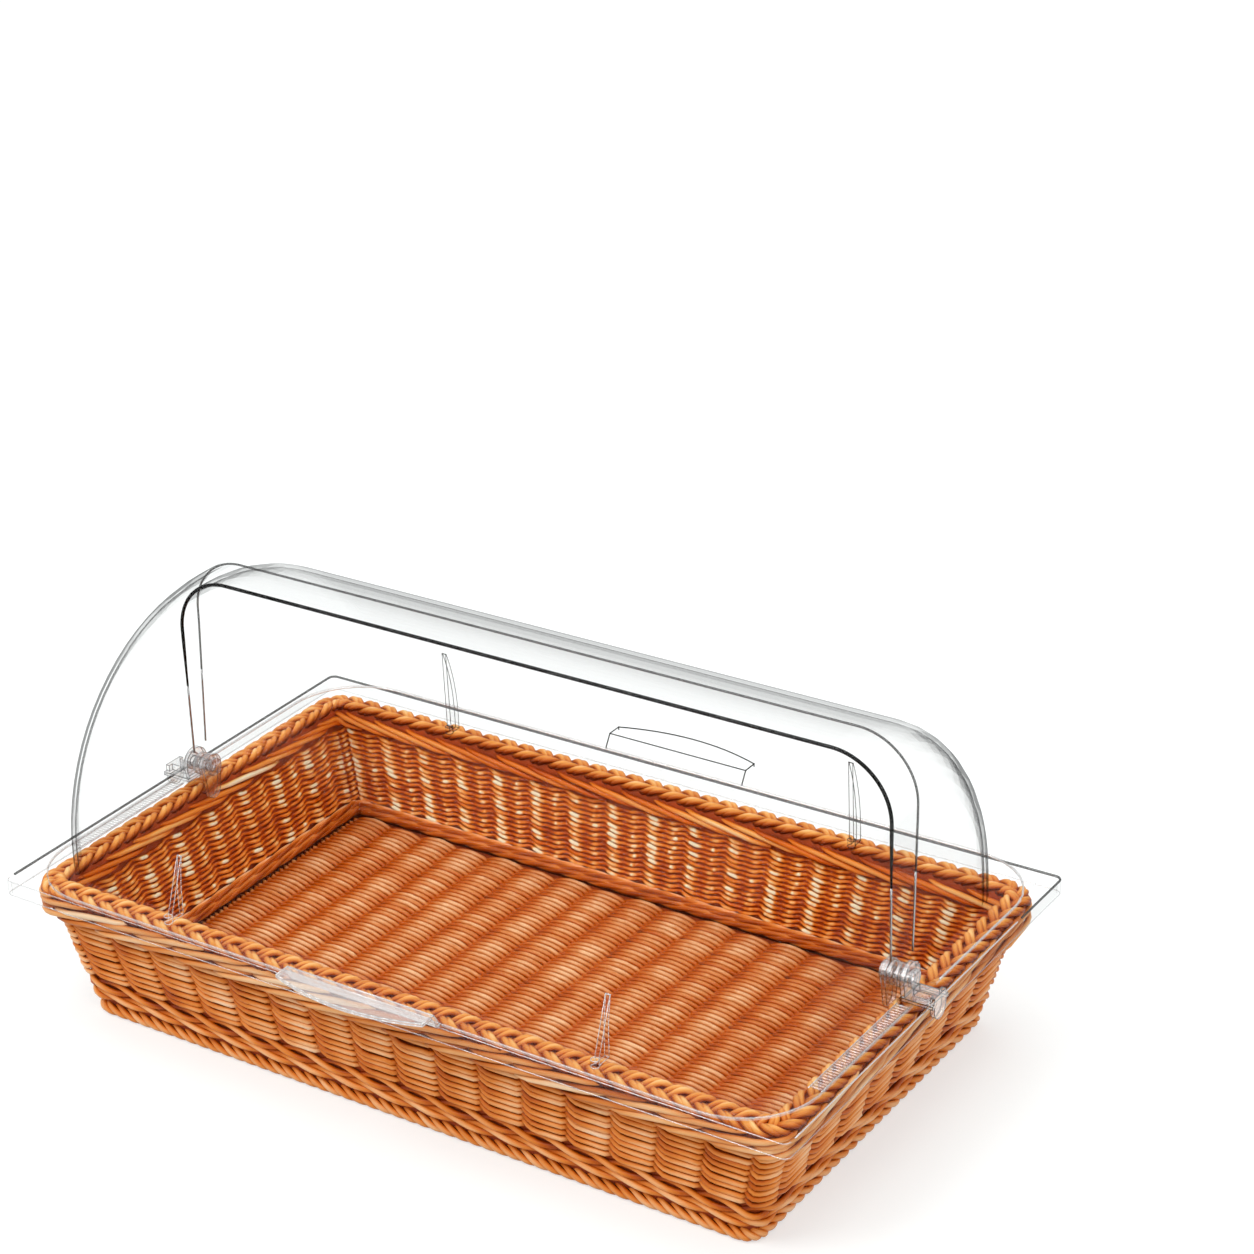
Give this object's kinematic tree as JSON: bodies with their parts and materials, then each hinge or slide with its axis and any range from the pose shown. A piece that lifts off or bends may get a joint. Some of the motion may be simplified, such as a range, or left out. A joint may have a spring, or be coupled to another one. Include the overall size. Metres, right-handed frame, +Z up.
{
  "type": "countertop bread display bin",
  "caption": "Rectangular woven basket with a lift-off clear roll-top cover; the front quarter-round shell swings up and back over the fixed rear one.",
  "frame": {"origin": "centre of the bounding box on the table", "axes": "X along the length, Y from the front to the back, Z up; the front shell's handle faces -Y"},
  "size_m": [0.5666, 0.3796, 0.254],
  "materials": {
    "wicker": "woven round strands, golden brown",
    "wicker_dark": "twisted round strands, darker brown",
    "steel_wire": "drawn wire",
    "clear_plastic": "clear, polished",
    "clear_fittings": "clear with a grey cast"
  },
  "bodies": {
    "basket": {"woven_wall": "wicker", "woven_floor": "wicker", "rim_border": "wicker_dark", "rim_hoop": "steel_wire", "foot_border": "wicker_dark", "foot_hoop": "steel_wire", "floor_stake_01": "wicker_dark", "floor_stake_02": "wicker_dark", "floor_stake_03": "wicker_dark", "floor_stake_04": "wicker_dark", "floor_stake_05": "wicker_dark", "floor_stake_06": "wicker_dark", "floor_stake_07": "wicker_dark", "floor_stake_08": "wicker_dark", "floor_stake_09": "wicker_dark", "floor_stake_10": "wicker_dark", "floor_stake_11": "wicker_dark", "floor_stake_12": "wicker_dark", "floor_stake_13": "wicker_dark", "floor_stake_14": "wicker_dark", "floor_stake_15": "wicker_dark", "floor_stake_16": "wicker_dark", "floor_stake_17": "wicker_dark"},
    "cover": {"cover_frame": "clear_fittings", "pivot_bracket_left": "clear_fittings", "pivot_bracket_right": "clear_fittings", "pivot_pin_left": "clear_fittings", "pivot_pin_right": "clear_fittings", "pivot_plate_left": "clear_fittings", "pivot_plate_right": "clear_fittings", "pivot_spacer_left": "clear_fittings", "pivot_spacer_right": "clear_fittings", "pivot_bush_left": "clear_fittings", "pivot_bush_right": "clear_fittings", "rear_shell": "clear_plastic", "rear_handle": "clear_plastic", "rear_rib_left": "clear_plastic", "rear_rib_right": "clear_plastic"},
    "front_cover": {"front_shell": "clear_plastic", "front_handle": "clear_plastic", "front_rib_left": "clear_plastic", "front_rib_right": "clear_plastic"}
  },
  "joints": [
    {"name": "cover_lift", "type": "slide", "parent": "basket", "child": "cover", "axis": [0, 0, 1], "range_m": [0, 0.06]},
    {"name": "front_opening", "type": "hinge", "parent": "cover", "child": "front_cover", "pos_m": [0, 0, 0.109], "axis": [-1, 0, 0], "range_deg": [0, 87]}
  ]
}
